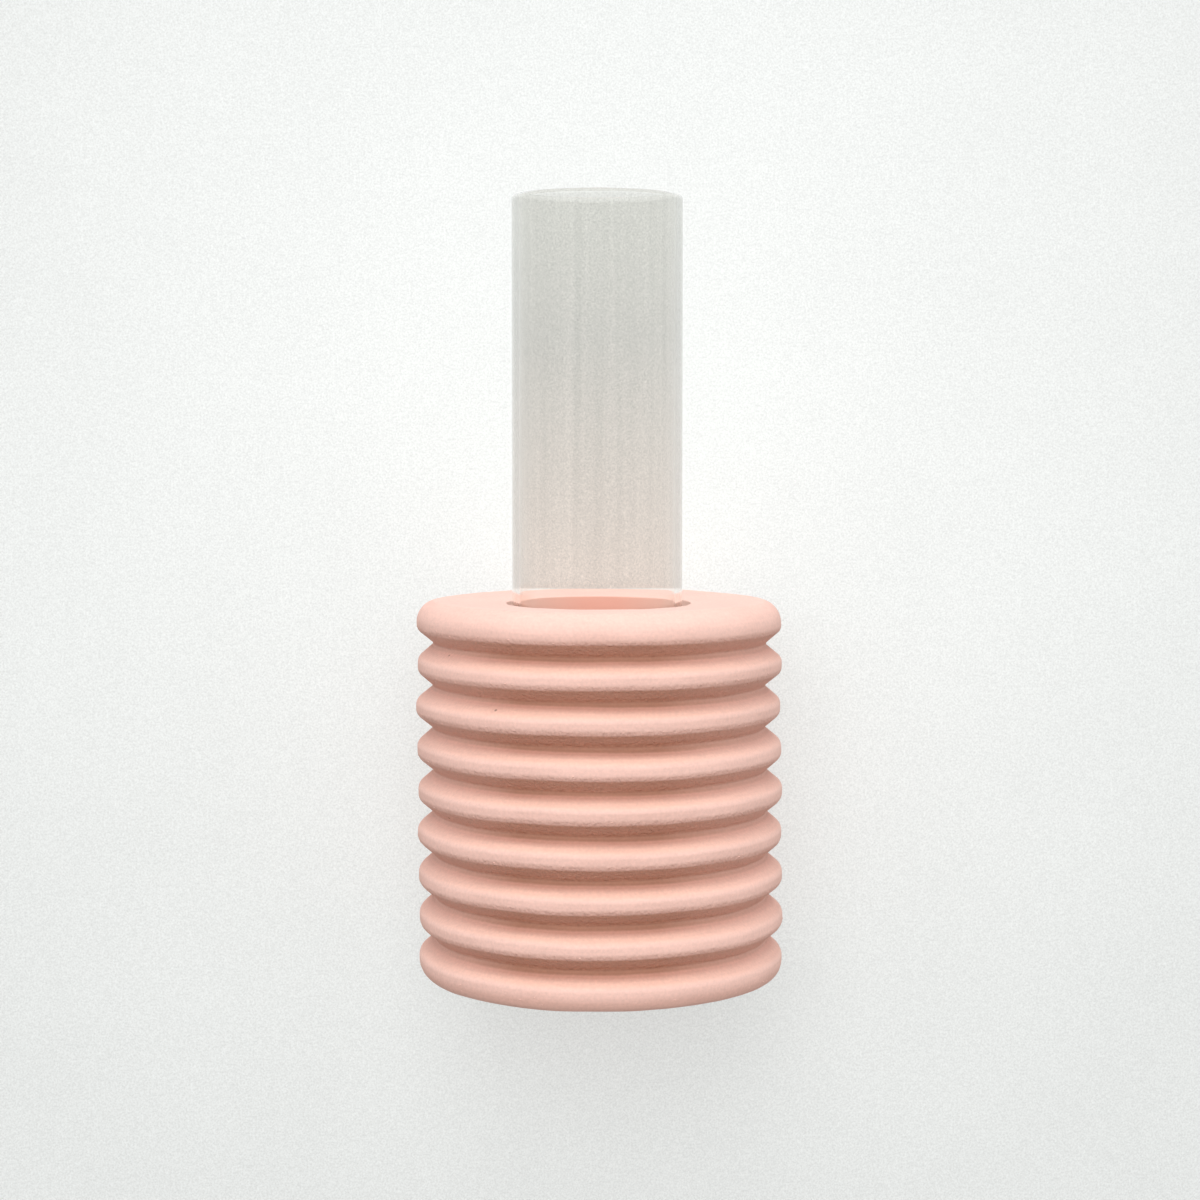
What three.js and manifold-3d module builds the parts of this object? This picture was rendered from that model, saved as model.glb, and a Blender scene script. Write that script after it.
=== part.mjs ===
// Wall vase: a ribbed ceramic body that holds a glass tube and hangs by a keyhole plate on a wall screw.
// Millimetres, +Z up. The wall is the plane y = 0 and the room lies towards -Y.
// The origin is the point where the axis of the wall screw meets the wall.

import * as THREE from "three";
import { mergeVertices, toCreasedNormals } from "three/addons/utils/BufferGeometryUtils.js";
import Module from "manifold-3d";

const wasm = await Module();
wasm.setup();

// Glass tube and the disc that it stands on
const tubeRadius = 18.7;
const tubeWall = 1.6;
const tubeFloor = 2.6;
const tubeCorner = 3; // outer rounding round the floor
const tubeInnerCorner = 1.4;
const tubeLength = 150;
const seatThickness = 2;
const seatClearance = 0.5; // disc to bore, on the radius

// Ribbed body
const boreClearance = 1.5; // tube to bore, on the radius
const bodyWall = 19.8; // bore to the crest of a rib
const baseThickness = 18.2; // solid part under the bore
const ribCount = 9;
const ribPitch = 9.25; // crest to crest
const ribCrest = 1; // straight part of a crest, measured up the body
const ribRound = 2; // rounding above and below a crest
const grooveDepth = 3.4; // crest to groove floor
const grooveRound = 0.7; // rounding of a groove floor
const topEdgeWidth = 4.5; // rounded shoulder of the top rib, measured along the radius
const topEdgeHeight = 4.7; // the same shoulder, measured down from the top
const bottomEdgeWidth = 2.8;
const bottomEdgeHeight = 3.7;
const topDish = 0.8; // fall of the top face towards the bore
const mouthRound = 1; // rounding of the mouth of the bore
const flatCut = 5; // depth of the flat on the back, measured from the crests

// Wall screw
const screwRadius = 2;
const screwLength = 40; // under the head
const screwTip = 5;
const headOverhang = 2.2; // head past the shank, on the radius
const headHeight = 2.6;
const recessWidth = 1;
const recessSpan = 4.4;
const recessDepth = 1.3;

// Wall plug
const plugWall = 0.7;
const plugLength = 30;
const plugCollarWidth = 1.6;
const plugCollarThickness = 0.8;
const plugNeck = 12; // plain stretch next to the collar
const plugBarbDepth = 0.25;
const plugBarbLength = 3;
const plugSlitWidth = 0.9;
const plugSlitStart = 10; // from the wall

// Keyhole plate, set flush in the back of the body
const keyholeTravel = 10; // lift that frees the head
const entryClearance = 0.6; // head to the round end of the keyhole
const headRoom = 1.1; // spare room round the head in its pocket
const plateSide = 3.2; // metal each side of the round end
const plateEnd = 2.3; // metal past each fixing
const plateUnderFixing = 0.5; // metal left under the cone of a fixing
const plateCorner = 5;
const plateInset = 4.6; // top of the body to the recess for the plate

// Countersunk fixings of the plate, and the sleeves that they screw into
const fixingRadius = 1.5;
const fixingLength = 8;
const fixingHeadOverhang = 1.4;
const fixingHeadHeight = 1.5;
const fixingWeb = 1.5; // ceramic between the head pocket and a sleeve
const socketRadius = 1.15;
const socketDepth = 0.9;
const insertWall = 1.1;
const insertSpare = 0.8; // sleeve past the end of its fixing

// Bumpers between the body and the wall
const bumperRadius = 4;
const bumperThickness = 1.5;
const bumperInset = 2.5; // middle of the back to the edge of a bumper
const bumperMargin = 4; // underside of the body to the edge of a bumper
const bumperRound = 0.5;

// Fits and facets
const gap = 0.3; // between pieces that touch
const overshoot = 1; // how far a cutting tool runs past the face that it opens
const bodySegments = 48;
const tubeSegments = 48;
const smallSegments = 24;
const crestSteps = 2; // from the crest of a rib to the side of a groove
const grooveSteps = 2;
const edgeSteps = 4;
const roundSteps = 3;
const creaseAngle = 0.6; // radians
const mergeDistance = 1e-4;

// Radii and lengths that follow from the sizes above
const boreRadius = tubeRadius + boreClearance;
const bodyRadius = boreRadius + bodyWall;
const bodyHeight = topEdgeHeight + (ribCount - 1) * ribPitch + bottomEdgeHeight;
const headRadius = screwRadius + headOverhang;
const plugBore = screwRadius + gap;
const plugRadius = plugBore + plugWall;
const entryRadius = headRadius + entryClearance;
const pocketRadius = headRadius + headRoom;
const fixingHeadRadius = fixingRadius + fixingHeadOverhang;
const insertBore = fixingRadius + gap;
const insertRadius = insertBore + insertWall;
const insertHoleRadius = insertRadius + gap;
const plateThickness = fixingHeadHeight + plateUnderFixing;
const insertLength = fixingLength + insertSpare - plateThickness - gap;
const plateHalfWidth = entryRadius + plateSide;

// Heights, from the wall screw outwards
const upperFixing = pocketRadius + fixingWeb + insertHoleRadius;
const lowerFixing = -keyholeTravel - upperFixing;
const plateTop = upperFixing + fixingHeadRadius + gap + plateEnd;
const plateBottom = lowerFixing - fixingHeadRadius - gap - plateEnd;
const bodyTop = plateTop + gap + plateInset;
const bodyBottom = bodyTop - bodyHeight;
const boreBottom = bodyBottom + baseThickness;
const seatBottom = boreBottom + gap;
const tubeBottom = seatBottom + seatThickness + gap;

// Distances from the wall, towards the room
const flatY = -bumperThickness - gap;
const plateBackY = flatY - plateThickness;
const axisY = flatY + flatCut - bodyRadius;

const quarter = Math.PI / 2;

// A closed geometry as a solid: only positions are kept, and triangles that shrink to a line are dropped.
function solid(geometry) {
  const plain = new THREE.BufferGeometry();
  plain.setAttribute("position", geometry.getAttribute("position").clone());
  if (geometry.index) plain.setIndex(geometry.index.clone());
  const merged = mergeVertices(plain, mergeDistance);
  const index = merged.index.array;
  const kept = [];
  for (let i = 0; i < index.length; i += 3) {
    const [a, b, c] = [index[i], index[i + 1], index[i + 2]];
    if (a !== b && b !== c && c !== a) kept.push(a, b, c);
  }
  return new wasm.Manifold(
    new wasm.Mesh({
      numProp: 3,
      vertProperties: new Float32Array(merged.attributes.position.array),
      triVerts: new Uint32Array(kept),
    }),
  );
}

// A solid as a named mesh, placed at x, y, z in its group.
function mesh(name, shape, material, x, y, z) {
  const made = shape.getMesh();
  const geometry = new THREE.BufferGeometry();
  geometry.setAttribute("position", new THREE.BufferAttribute(made.vertProperties, 3));
  geometry.setIndex(new THREE.BufferAttribute(made.triVerts, 1));
  const part = new THREE.Mesh(toCreasedNormals(geometry, creaseAngle), material);
  part.name = name;
  part.position.set(x, y, z);
  return part;
}

function point(radius, height) {
  return new THREE.Vector2(radius, height);
}

// An elliptical arc of an outline, from its centre, its two half axes and its end angles.
function arc(radius, height, across, along, from, to, steps) {
  return Array.from({ length: steps + 1 }, (_, i) => {
    const angle = from + ((to - from) * i) / steps;
    return point(radius + across * Math.cos(angle), height + along * Math.sin(angle));
  });
}

// An outline of radius and height, turned about the Z axis.
function turned(outline, segments) {
  return solid(new THREE.LatheGeometry(outline, segments).rotateX(quarter));
}

// An outline turned about the Y axis: its heights run from the wall towards the room.
function turnedFromWall(outline) {
  return solid(new THREE.LatheGeometry(outline, smallSegments).rotateX(Math.PI));
}

// A shape drawn in X and Z, starting at y = 0 and as thick as given towards the room.
function slab(shape, thickness) {
  const options = { depth: thickness, bevelEnabled: false, curveSegments: smallSegments / 2 };
  return solid(new THREE.ExtrudeGeometry(shape, options).rotateX(quarter));
}

function box(sizeX, sizeY, sizeZ) {
  return solid(new THREE.BoxGeometry(sizeX, sizeY, sizeZ));
}

const finish = {
  ceramic: new THREE.MeshStandardMaterial({ color: 0xf6c9ba, roughness: 0.9, metalness: 0 }),
  silicone: new THREE.MeshStandardMaterial({ color: 0xe6e2da, roughness: 0.6, metalness: 0 }),
  steel: new THREE.MeshStandardMaterial({ color: 0xb9bcbf, roughness: 0.35, metalness: 1 }),
  brass: new THREE.MeshStandardMaterial({ color: 0xc9a24e, roughness: 0.35, metalness: 1 }),
  nylon: new THREE.MeshStandardMaterial({ color: 0x9a9c9e, roughness: 0.55, metalness: 0 }),
  felt: new THREE.MeshStandardMaterial({ color: 0xd9d4ca, roughness: 1, metalness: 0 }),
  glass: new THREE.MeshStandardMaterial({ color: 0xd8dad8, roughness: 0.05, metalness: 0 }),
};
finish.glass.transparent = true;
finish.glass.opacity = 0.35;

// The outside of the body, bottom to top: rounded crests, and grooves whose straight sides touch both roundings.
function ribbedOutline() {
  const lowestCrest = bodyBottom + bottomEdgeHeight;
  const lowestEdge = bodyRadius - bottomEdgeWidth;
  const topCrest = bodyTop - topEdgeHeight;
  const topEdge = bodyRadius - topEdgeWidth;
  const shoulder = bodyRadius - ribRound;
  const floor = bodyRadius - grooveDepth + grooveRound;
  const fall = shoulder - floor;
  const half = (ribPitch - ribCrest) / 2;
  const lean = Math.atan2(fall, half) + Math.asin((ribRound + grooveRound) / Math.hypot(fall, half));
  const outline = [
    point(0, bodyBottom),
    ...arc(lowestEdge, lowestCrest, bottomEdgeWidth, bottomEdgeHeight, -quarter, 0, edgeSteps),
  ];
  for (let groove = 0; groove < ribCount - 1; groove++) {
    const middle = lowestCrest + (groove + 0.5) * ribPitch;
    outline.push(
      ...arc(shoulder, middle - half, ribRound, ribRound, 0, lean, crestSteps),
      ...arc(floor, middle, -grooveRound, grooveRound, -lean, lean, grooveSteps),
      ...arc(shoulder, middle + half, ribRound, ribRound, -lean, 0, crestSteps),
    );
  }
  outline.push(...arc(topEdge, topCrest, topEdgeWidth, topEdgeHeight, 0, quarter, edgeSteps));
  return outline;
}

// The rounded mouth of the bore, below the rim by the dish of the top, and the bore down to the axis.
function boreOutline() {
  const mouthCentre = bodyTop - topDish - mouthRound;
  return [
    ...arc(boreRadius + mouthRound, mouthCentre, mouthRound, mouthRound, quarter, Math.PI, roundSteps),
    point(boreRadius, boreBottom),
    point(0, boreBottom),
  ];
}

// A rounded rectangle, grown on every side for the recess that takes the plate.
function plateShape(grow) {
  const half = plateHalfWidth + grow;
  const low = plateBottom - grow;
  const high = plateTop + grow;
  const corner = Math.min(plateCorner, plateHalfWidth) + grow;
  const shape = new THREE.Shape();
  shape.moveTo(corner - half, low);
  shape.lineTo(half - corner, low);
  shape.absarc(half - corner, low + corner, corner, -quarter, 0);
  shape.lineTo(half, high - corner);
  shape.absarc(half - corner, high - corner, corner, 0, quarter);
  shape.lineTo(corner - half, high);
  shape.absarc(corner - half, high - corner, corner, quarter, 2 * quarter);
  shape.lineTo(-half, low + corner);
  shape.absarc(corner - half, low + corner, corner, 2 * quarter, 3 * quarter);
  return shape;
}

// A slot with a round upper end at the wall screw, and a wide round lower end that lets the head through.
function keyholePath() {
  const slotRadius = screwRadius + gap;
  const join = Math.sqrt(entryRadius ** 2 - slotRadius ** 2);
  const joinAngle = Math.atan2(join, slotRadius);
  const path = new THREE.Path();
  path.moveTo(-slotRadius, join - keyholeTravel);
  path.lineTo(-slotRadius, 0);
  path.absarc(0, 0, slotRadius, Math.PI, 0, true);
  path.lineTo(slotRadius, join - keyholeTravel);
  path.absarc(0, -keyholeTravel, entryRadius, joinAngle, Math.PI - joinAngle, true);
  return path;
}

// The room that the head needs behind the plate, from the slot to the round end.
function pocketShape() {
  const shape = new THREE.Shape();
  shape.moveTo(pocketRadius, -keyholeTravel);
  shape.lineTo(pocketRadius, 0);
  shape.absarc(0, 0, pocketRadius, 0, Math.PI);
  shape.lineTo(-pocketRadius, -keyholeTravel);
  shape.absarc(0, -keyholeTravel, pocketRadius, Math.PI, 2 * Math.PI);
  return shape;
}

// A countersunk screw from its head inwards, grown for the hole that takes it.
function fixingOutline(grow) {
  return [
    point(0, 0),
    point(fixingHeadRadius + grow, 0),
    point(fixingRadius + grow, fixingHeadHeight + grow),
    point(fixingRadius + grow, fixingLength),
    point(0, fixingLength),
  ];
}

function insertHole() {
  const depth = plateThickness + gap + insertLength + gap;
  return turnedFromWall([
    point(0, 0),
    point(insertHoleRadius, 0),
    point(insertHoleRadius, depth),
    point(0, depth),
  ]);
}

// The turned body, cut flat at the back, with a recess for the plate, a pocket for the head and two holes.
function vaseBody() {
  const backDepth = flatCut + overshoot;
  const back = box(2 * bodyRadius + overshoot, backDepth, bodyHeight + overshoot);
  const recess = slab(plateShape(gap), plateThickness + gap + overshoot);
  const pocket = slab(pocketShape(), plateThickness + gap + headHeight + headRoom);
  const body = turned([...ribbedOutline(), ...boreOutline()], bodySegments)
    .translate([0, axisY, 0])
    .subtract(back.translate([0, flatY + backDepth / 2, bodyTop - bodyHeight / 2]))
    .subtract(recess.translate([0, flatY + overshoot, 0]))
    .subtract(pocket.translate([0, flatY, 0]))
    .subtract(insertHole().translate([0, flatY, upperFixing]))
    .subtract(insertHole().translate([0, flatY, lowerFixing]));
  return mesh("vase_body", body, finish.ceramic, 0, 0, 0);
}

// A straight tube with a rounded rim and a flat floor.
function glassTube() {
  const inner = tubeRadius - tubeWall;
  const rimRadius = tubeWall / 2;
  const floorEdge = inner - tubeInnerCorner;
  const outline = [
    point(0, 0),
    ...arc(tubeRadius - tubeCorner, tubeCorner, tubeCorner, tubeCorner, -quarter, 0, edgeSteps),
    ...arc(tubeRadius - rimRadius, tubeLength - rimRadius, rimRadius, rimRadius, 0, Math.PI, edgeSteps),
    ...arc(floorEdge, tubeFloor + tubeInnerCorner, tubeInnerCorner, tubeInnerCorner, 0, -quarter, roundSteps),
    point(0, tubeFloor),
  ];
  return mesh("glass_tube", turned(outline, tubeSegments), finish.glass, 0, axisY, tubeBottom);
}

function tubeSeat() {
  const radius = boreRadius - seatClearance;
  const outline = [
    point(0, 0),
    point(radius, 0),
    point(radius, seatThickness),
    point(0, seatThickness),
  ];
  return mesh("tube_seat", turned(outline, tubeSegments), finish.silicone, 0, axisY, seatBottom);
}

function hangerPlate() {
  const shape = plateShape(0);
  shape.holes.push(keyholePath());
  const plate = slab(shape, plateThickness)
    .subtract(turnedFromWall(fixingOutline(gap)).translate([0, 0, upperFixing]))
    .subtract(turnedFromWall(fixingOutline(gap)).translate([0, 0, lowerFixing]));
  return mesh("hanger_plate", plate, finish.steel, 0, flatY, 0);
}

// A countersunk screw with a hexagon socket.
function hangerScrew(name, height) {
  const socket = new THREE.CylinderGeometry(socketRadius, socketRadius, 2 * socketDepth, 6);
  const screw = turnedFromWall(fixingOutline(0)).subtract(solid(socket));
  return mesh(name, screw, finish.steel, 0, flatY, height);
}

// A sleeve set in a blind hole in the body, which the fixing screws into.
function threadedInsert(name, height) {
  const outline = [
    point(insertBore, 0),
    point(insertRadius, 0),
    point(insertRadius, insertLength),
    point(insertBore, insertLength),
    point(insertBore, 0),
  ];
  return mesh(name, turnedFromWall(outline), finish.brass, 0, plateBackY - gap, height);
}

// A round pad on the back of the body, flat against the wall.
function wallBumper(name, side) {
  const outline = [
    point(0, 0),
    ...arc(bumperRadius - bumperRound, bumperRound, bumperRound, bumperRound, -quarter, 0, roundSteps),
    point(bumperRadius, bumperThickness),
    point(0, bumperThickness),
  ];
  const across = side * (bumperInset + bumperRadius);
  const height = bodyBottom + bumperMargin + bumperRadius;
  return mesh(name, turnedFromWall(outline), finish.felt, across, 0, height);
}

// A pan head with a cross recess, a plain shank and a point. The head sits behind the keyhole plate.
function wallScrew() {
  const outline = [
    point(0, -screwLength),
    point(screwRadius, screwTip - screwLength),
    point(screwRadius, 0),
    ...arc(0, 0, headRadius, headHeight, 0, quarter, edgeSteps),
  ];
  const bar = box(recessSpan, 2 * recessDepth, recessWidth);
  const cross = bar.add(box(recessWidth, 2 * recessDepth, recessSpan));
  const screw = turnedFromWall(outline).subtract(cross.translate([0, -headHeight, 0]));
  return mesh("wall_screw", screw, finish.steel, 0, plateBackY - gap, 0);
}

// A sleeve with a collar on the wall, barbs that grip the hole and a slit that lets it spread.
function wallPlug() {
  const barbFoot = plugRadius - plugBarbDepth;
  const barbCount = Math.floor((plugLength - plugNeck) / plugBarbLength);
  const collarRadius = plugRadius + plugCollarWidth;
  const outline = [point(plugBore, -plugLength), point(barbFoot, -plugLength)];
  for (let barb = 1; barb <= barbCount; barb++) {
    const step = barb * plugBarbLength - plugLength;
    outline.push(point(plugRadius, step), point(barbFoot, step));
  }
  outline.push(
    point(barbFoot, 0),
    point(collarRadius, 0),
    point(collarRadius, plugCollarThickness),
    point(plugBore, plugCollarThickness),
    point(plugBore, -plugLength),
  );
  const slitLength = plugLength - plugSlitStart + overshoot;
  const slit = box(2 * plugRadius + overshoot, slitLength, plugSlitWidth);
  const plug = turnedFromWall(outline).subtract(slit.translate([0, plugSlitStart + slitLength / 2, 0]));
  return mesh("wall_plug", plug, finish.nylon, 0, 0, 0);
}

const wallFixing = new THREE.Group();
wallFixing.add(wallPlug(), wallScrew());

const tube = new THREE.Group();
tube.add(glassTube());

const vase = new THREE.Group();
vase.add(
  vaseBody(),
  tubeSeat(),
  hangerPlate(),
  hangerScrew("hanger_screw_upper", upperFixing),
  hangerScrew("hanger_screw_lower", lowerFixing),
  threadedInsert("threaded_insert_upper", upperFixing),
  threadedInsert("threaded_insert_lower", lowerFixing),
  wallBumper("wall_bumper_left", -1),
  wallBumper("wall_bumper_right", 1),
  tube,
);

const wallVase = new THREE.Group();
wallVase.add(wallFixing, vase);

export default wallVase;
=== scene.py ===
import math

import bmesh
import bpy
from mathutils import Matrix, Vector


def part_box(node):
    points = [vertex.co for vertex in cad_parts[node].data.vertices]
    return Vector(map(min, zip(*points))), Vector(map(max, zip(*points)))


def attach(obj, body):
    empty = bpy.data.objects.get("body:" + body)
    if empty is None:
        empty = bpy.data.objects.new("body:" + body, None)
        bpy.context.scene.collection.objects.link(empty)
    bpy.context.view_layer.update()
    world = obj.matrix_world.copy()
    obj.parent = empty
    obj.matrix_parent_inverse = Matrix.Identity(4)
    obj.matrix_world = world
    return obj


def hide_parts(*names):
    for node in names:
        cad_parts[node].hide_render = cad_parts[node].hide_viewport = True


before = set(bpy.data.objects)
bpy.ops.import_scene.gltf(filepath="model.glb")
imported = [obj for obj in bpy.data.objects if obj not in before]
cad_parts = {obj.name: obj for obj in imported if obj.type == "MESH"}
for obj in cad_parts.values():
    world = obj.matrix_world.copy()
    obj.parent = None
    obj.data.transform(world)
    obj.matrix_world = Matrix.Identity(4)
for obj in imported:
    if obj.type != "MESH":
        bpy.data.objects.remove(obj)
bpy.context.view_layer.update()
scene = bpy.context.scene
mm = 0.001  # sizes below are in millimetres, meshes in metres
quarter = math.pi / 2
past = 1  # how far a cut runs past the face that it opens
seamGap = 0.002  # points closer than this become one where a turned shape closes
weldGap = 0.0005  # the same for any finished mesh
print("frame loaded,", len(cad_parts), "nodes")


# small helpers for nodes

def feed(tree, socket, value):
    if isinstance(value, bpy.types.NodeSocket):
        tree.links.new(value, socket)
    else:
        socket.default_value = value


def addNode(tree, kind, inputs=None, **settings):
    node = tree.nodes.new(kind)
    for key, value in settings.items():
        setattr(node, key, value)
    for key, value in (inputs or {}).items():
        feed(tree, node.inputs[key], value)
    return node


def calc(tree, operation, *values):
    node = addNode(tree, "ShaderNodeMath", dict(enumerate(values)), operation=operation)
    return node.outputs[0]


def times(tree, first, *others):
    for other in others:
        first = calc(tree, "MULTIPLY", first, other)
    return first


def vectorCalc(tree, operation, *values):
    node = addNode(tree, "ShaderNodeVectorMath", dict(enumerate(values)), operation=operation)
    return node.outputs["Value" if operation == "LENGTH" else "Vector"]


def scaled(tree, vector, amount):
    node = addNode(tree, "ShaderNodeVectorMath", {0: vector, "Scale": amount}, operation="SCALE")
    return node.outputs["Vector"]


def axes(tree, vector):
    return addNode(tree, "ShaderNodeSeparateXYZ", {0: vector}).outputs


def joinAxes(tree, **parts):
    return addNode(tree, "ShaderNodeCombineXYZ", parts).outputs[0]


def between(tree, amount, low, high, lowValue=0.0, highValue=1.0):
    limits = {"From Min": low, "From Max": high, "To Min": lowValue, "To Max": highValue}
    return addNode(tree, "ShaderNodeMapRange", {"Value": amount, **limits}).outputs[0]


def zone(tree, distance, start, end, startValue=0.0, endValue=1.0):
    # as between, with both limits in millimetres
    return between(tree, distance, start * mm, end * mm, startValue, endValue)


def noise(tree, vector, scale, detail=2.0, roughness=0.5, output="Fac"):
    inputs = {"Vector": vector, "Scale": scale, "Detail": detail, "Roughness": roughness}
    return addNode(tree, "ShaderNodeTexNoise", inputs).outputs[output]


def spread(tree, amount, low, high):
    # most of a noise lies between 0.3 and 0.7
    return between(tree, amount, 0.3, 0.7, low, high)


# geometry node trees

def newTree(name, sizes):
    tree = bpy.data.node_groups.new(name, "GeometryNodeTree")
    face = tree.interface
    face.new_socket("Geometry", in_out="INPUT", socket_type="NodeSocketGeometry")
    for label, kind in sizes.items():
        face.new_socket(label, in_out="INPUT", socket_type="NodeSocket" + kind)
    face.new_socket("Geometry", in_out="OUTPUT", socket_type="NodeSocketGeometry")
    return tree, tree.nodes.new("NodeGroupInput").outputs


def closeTree(tree, geometry, finish):
    real = addNode(tree, "GeometryNodeRealizeInstances", {"Geometry": geometry}).outputs[0]
    dressed = addNode(tree, "GeometryNodeSetMaterial", {"Geometry": real, "Material": finish})
    addNode(tree, "NodeGroupOutput", {"Geometry": dressed.outputs[0]})
    return tree


def position(tree):
    return addNode(tree, "GeometryNodeInputPosition").outputs[0]


def moved(tree, geometry, **way):
    return addNode(tree, "GeometryNodeSetPosition", {"Geometry": geometry, **way}).outputs[0]


def joined(tree, added, base):
    node = addNode(tree, "GeometryNodeJoinGeometry", {"Geometry": added})
    tree.links.new(base, node.inputs[0])
    return node.outputs[0]


def makeTurnTree():
    # turns a drawn outline (x = radius, z = height) round the Z axis, then puts it in place
    tree, given = newTree("turnOutline", {
        "Segments": "Int", "Turn": "Vector", "Place": "Vector", "Finish": "Material"})
    size = addNode(tree, "GeometryNodeAttributeDomainSize", {"Geometry": given["Geometry"]})
    rows = size.outputs["Point Count"]
    columns = calc(tree, "ADD", given["Segments"], 1)
    grid = addNode(tree, "GeometryNodeMeshGrid", {"Vertices X": columns, "Vertices Y": rows})
    index = addNode(tree, "GeometryNodeInputIndex").outputs[0]
    column = calc(tree, "FLOOR", calc(tree, "DIVIDE", index, rows))
    angle = times(tree, calc(tree, "DIVIDE", column, given["Segments"]), 2 * math.pi)
    drawn = addNode(tree, "GeometryNodeSampleIndex", {
        "Geometry": given["Geometry"], "Value": position(tree),
        "Index": calc(tree, "MODULO", index, rows)}, data_type="FLOAT_VECTOR")
    split = axes(tree, drawn.outputs[0])
    spot = joinAxes(tree, X=times(tree, split["X"], calc(tree, "COSINE", angle)),
                    Y=times(tree, split["X"], calc(tree, "SINE", angle)), Z=split["Z"])
    swept = moved(tree, grid.outputs["Mesh"], Position=spot)
    closed = addNode(tree, "GeometryNodeMergeByDistance", {"Geometry": swept, "Distance": seamGap * mm})
    placed = addNode(tree, "GeometryNodeTransform", {
        "Geometry": closed.outputs[0], "Translation": given["Place"], "Rotation": given["Turn"]})
    return closeTree(tree, placed.outputs[0], given["Finish"])


turnTree = makeTurnTree()


# making meshes

def addTree(piece, tree, values):
    modifier = piece.modifiers.new(tree.name, "NODES")
    modifier.node_group = tree
    for item in tree.interface.items_tree:
        if item.in_out == "INPUT" and item.name in values:
            modifier[item.identifier] = values[item.name]


def newPiece(name, points, edges=(), faces=()):
    mesh = bpy.data.meshes.new(name)
    mesh.from_pydata([Vector(point) * mm for point in points], edges, faces)
    piece = bpy.data.objects.new(name, mesh)
    scene.collection.objects.link(piece)
    return piece


def tidyMesh(mesh):
    work = bmesh.new()
    work.from_mesh(mesh)
    bmesh.ops.remove_doubles(work, verts=work.verts, dist=weldGap * mm)
    bmesh.ops.recalc_face_normals(work, faces=work.faces)
    work.to_mesh(mesh)
    work.free()


def turned(name, outline, segments, finish=None, place=(0, 0, 0), fromWall=False):
    # fromWall lays the axis along Y, heights running towards the room
    points = [(radius, 0, height) for radius, height in outline]
    piece = newPiece(name, points, [(i, i + 1) for i in range(len(points) - 1)])
    addTree(piece, turnTree, {
        "Segments": segments, "Finish": finish,
        "Turn": (quarter if fromWall else 0, 0, 0), "Place": Vector(place) * mm})
    return piece


def prism(name, outline, nearY, farY):
    # an outline in X and Z, filled and drawn along Y
    count = len(outline)
    points = [(x, nearY, z) for x, z in outline] + [(x, farY, z) for x, z in outline]
    sides = [(i, (i + 1) % count, count + (i + 1) % count, count + i) for i in range(count)]
    ends = [tuple(reversed(range(count))), tuple(range(count, 2 * count))]
    piece = newPiece(name, points, (), sides + ends)
    tidyMesh(piece.data)
    return piece


def cut(piece, *tools):
    for tool in tools:
        modifier = piece.modifiers.new("cut", "BOOLEAN")
        modifier.operation = "DIFFERENCE"
        modifier.solver = "MANIFOLD"
        modifier.object = tool


def settle(piece, *tools, creaseAngle=32):
    # the result of all modifiers as a plain mesh
    shown = piece.evaluated_get(bpy.context.evaluated_depsgraph_get())
    mesh = bpy.data.meshes.new_from_object(shown)
    piece.modifiers.clear()
    piece.data = mesh
    tidyMesh(mesh)
    mesh.shade_smooth()
    mesh.set_sharp_from_angle(angle=math.radians(creaseAngle))
    for tool in tools:
        bpy.data.objects.remove(tool)


def deliver(piece, body, slot, *nodes):
    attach(piece, body)
    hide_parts(*nodes)
    print("made", piece.name, len(piece.data.polygons), "faces, on", body)


# outlines

def arc(radius, height, across, along, start, end, steps):
    angles = [start + (end - start) * i / steps for i in range(steps + 1)]
    return [(radius + across * math.cos(a), height + along * math.sin(a)) for a in angles]


def run(start, end, steps):
    # points between two outline points, both left out
    return [tuple(a + (b - a) * i / steps for a, b in zip(start, end)) for i in range(1, steps)]


def circle(x, z, radius, steps=48):
    return arc(x, z, radius, radius, 0, 2 * math.pi, steps)[:-1]


def rectangle(halfWide, low, high):
    return [(-halfWide, low), (halfWide, low), (halfWide, high), (-halfWide, high)]


def roundedBox(low, high, half, corner, steps=10):
    inner = half - corner
    return (arc(inner, low + corner, corner, corner, -quarter, 0, steps)
            + arc(inner, high - corner, corner, corner, 0, quarter, steps)
            + arc(-inner, high - corner, corner, corner, quarter, 2 * quarter, steps)
            + arc(-inner, low + corner, corner, corner, 2 * quarter, 3 * quarter, steps))


def boxOf(node):
    low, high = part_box(node)
    return low / mm, high / mm


bodyLow, bodyHigh = boxOf("vase_body")
tubeLow, tubeHigh = boxOf("glass_tube")
plateLow, plateHigh = boxOf("hanger_plate")
bodyRadius = (bodyHigh.x - bodyLow.x) / 2
axisY = bodyLow.y + bodyRadius
flatY = bodyHigh.y
fixingHeights = [(low.z + high.z) / 2 for low, high in (
    boxOf("hanger_screw_upper"), boxOf("hanger_screw_lower"))]


# finishes

def newFinish(name, **values):
    finish = bpy.data.materials.new(name)
    finish.use_nodes = True
    tree = finish.node_tree
    shader = tree.nodes["Principled BSDF"]
    for key, value in values.items():
        shader.inputs[key.replace("_", " ")].default_value = value
    place = addNode(tree, "ShaderNodeTexCoord").outputs["Object"]
    return finish, tree, shader, place


def dress(tree, shader, colour, roughness, normal):
    for key, value in (("Base Color", colour), ("Roughness", roughness), ("Normal", normal)):
        feed(tree, shader.inputs[key], value)


def stretched(tree, place, x, y, z):
    return addNode(tree, "ShaderNodeMapping", {"Vector": place, "Scale": (x, y, z)}).outputs[0]


def blend(tree, amount, first, second, blendType="MIX"):
    colours = {0: amount, 6: first, 7: second}
    node = addNode(tree, "ShaderNodeMix", colours, data_type="RGBA", blend_type=blendType)
    return node.outputs[2]


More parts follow.
